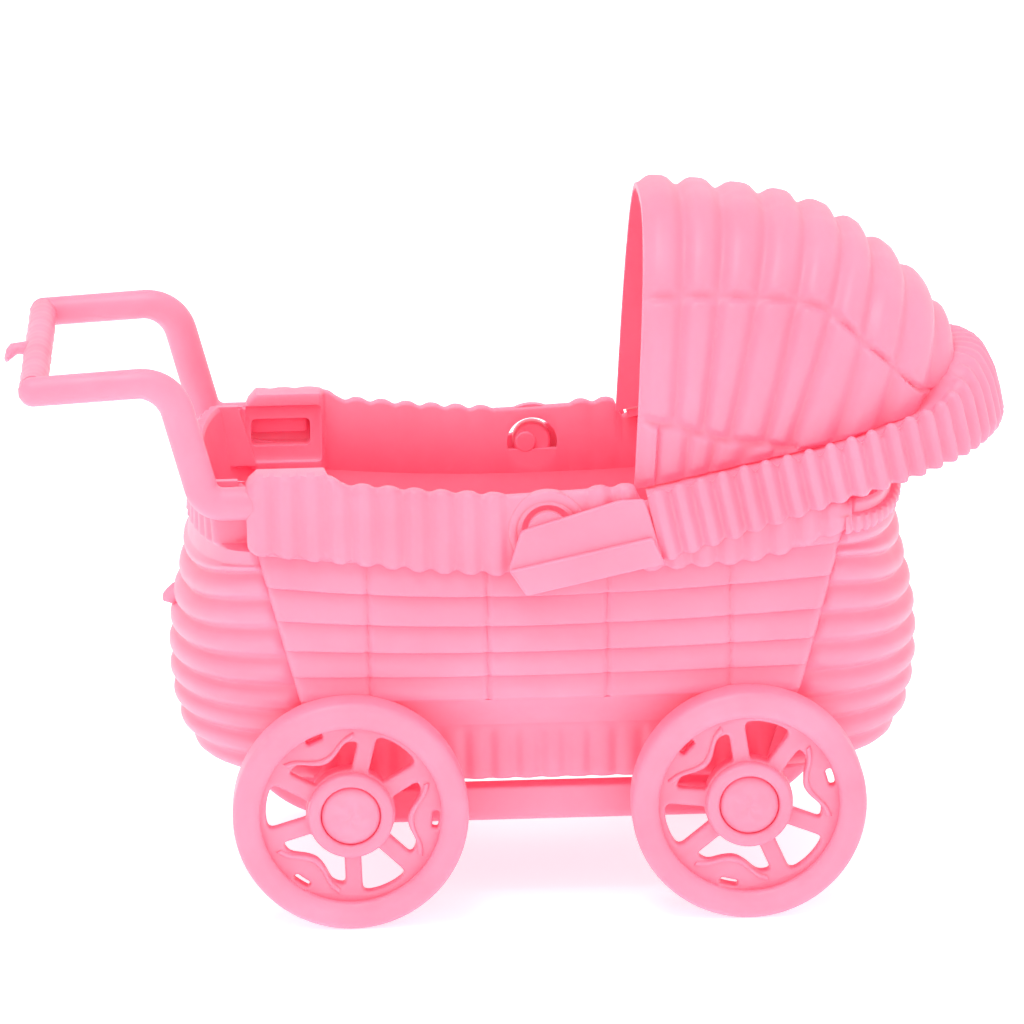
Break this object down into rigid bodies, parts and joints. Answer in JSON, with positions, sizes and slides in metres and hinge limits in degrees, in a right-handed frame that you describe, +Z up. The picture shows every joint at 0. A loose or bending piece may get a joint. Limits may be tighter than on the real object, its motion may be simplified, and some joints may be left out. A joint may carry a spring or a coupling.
{
  "type": "doll stroller",
  "caption": "Small moulded plastic doll pram with a wicker-look basket, swing-back ribbed hood, looped push handle and free spoked wheels.",
  "frame": {"origin": "on the ground under the middle of the pram's overall box", "axes": "+X from the handle towards the hood, +Y across the pram to its left, +Z up"},
  "size_m": [0.1302, 0.055, 0.0924],
  "materials": {
    "basket_plastic": "satin moulded pink plastic, slightly translucent",
    "hood_plastic": "satin moulded pink plastic, slightly translucent",
    "handle_plastic": "satin moulded pink plastic, slightly translucent",
    "wheel_plastic": "satin moulded pink plastic, slightly translucent",
    "chassis_plastic": "satin moulded pink plastic, slightly translucent"
  },
  "bodies": {
    "basket": {"axle_front_left": "chassis_plastic", "axle_front_right": "chassis_plastic", "axle_rear_left": "chassis_plastic", "axle_rear_right": "chassis_plastic", "basket_end_front": "basket_plastic", "basket_end_rear": "basket_plastic", "basket_floor": "basket_plastic", "basket_plinth": "basket_plastic", "basket_side_left": "basket_plastic", "basket_side_right": "basket_plastic", "chassis_pad_front_left": "chassis_plastic", "chassis_pad_front_right": "chassis_plastic", "chassis_pad_rear_left": "chassis_plastic", "chassis_pad_rear_right": "chassis_plastic", "chassis_rail_left": "chassis_plastic", "chassis_rail_right": "chassis_plastic", "chassis_tie_front": "chassis_plastic", "chassis_tie_rear": "chassis_plastic", "handle_arm_left": "handle_plastic", "handle_arm_right": "handle_plastic", "handle_crossbar": "handle_plastic", "handle_socket_left": "basket_plastic", "handle_socket_right": "basket_plastic", "rim_band_front": "basket_plastic", "rim_band_left": "basket_plastic", "rim_band_right": "basket_plastic"},
    "hood": {"hood_band": "hood_plastic", "hood_cheek_left": "hood_plastic", "hood_cheek_right": "hood_plastic", "hood_ledge": "hood_plastic", "hood_pin_left": "hood_plastic", "hood_pin_right": "hood_plastic", "hood_shell": "hood_plastic"},
    "wheel_rear_left": {"wheel_rear_left": "wheel_plastic"},
    "wheel_rear_right": {"wheel_rear_right": "wheel_plastic"},
    "wheel_front_left": {"wheel_front_left": "wheel_plastic"},
    "wheel_front_right": {"wheel_front_right": "wheel_plastic"}
  },
  "joints": [
    {"name": "hood_hinge", "type": "hinge", "parent": "basket", "child": "hood", "pos_m": [0.0032, 0, 0.0523], "axis": [0, -1, 0], "range_deg": [0, 90]},
    {"name": "wheel_rear_left_spin", "type": "hinge", "parent": "basket", "child": "wheel_rear_left", "pos_m": [-0.023, 0.0245, 0.0153], "axis": [0, 1, 0], "continuous": true},
    {"name": "wheel_rear_right_spin", "type": "hinge", "parent": "basket", "child": "wheel_rear_right", "pos_m": [-0.023, -0.0245, 0.0153], "axis": [0, 1, 0], "continuous": true},
    {"name": "wheel_front_left_spin", "type": "hinge", "parent": "basket", "child": "wheel_front_left", "pos_m": [0.0287, 0.0245, 0.0153], "axis": [0, 1, 0], "continuous": true},
    {"name": "wheel_front_right_spin", "type": "hinge", "parent": "basket", "child": "wheel_front_right", "pos_m": [0.0287, -0.0245, 0.0153], "axis": [0, 1, 0], "continuous": true}
  ]
}
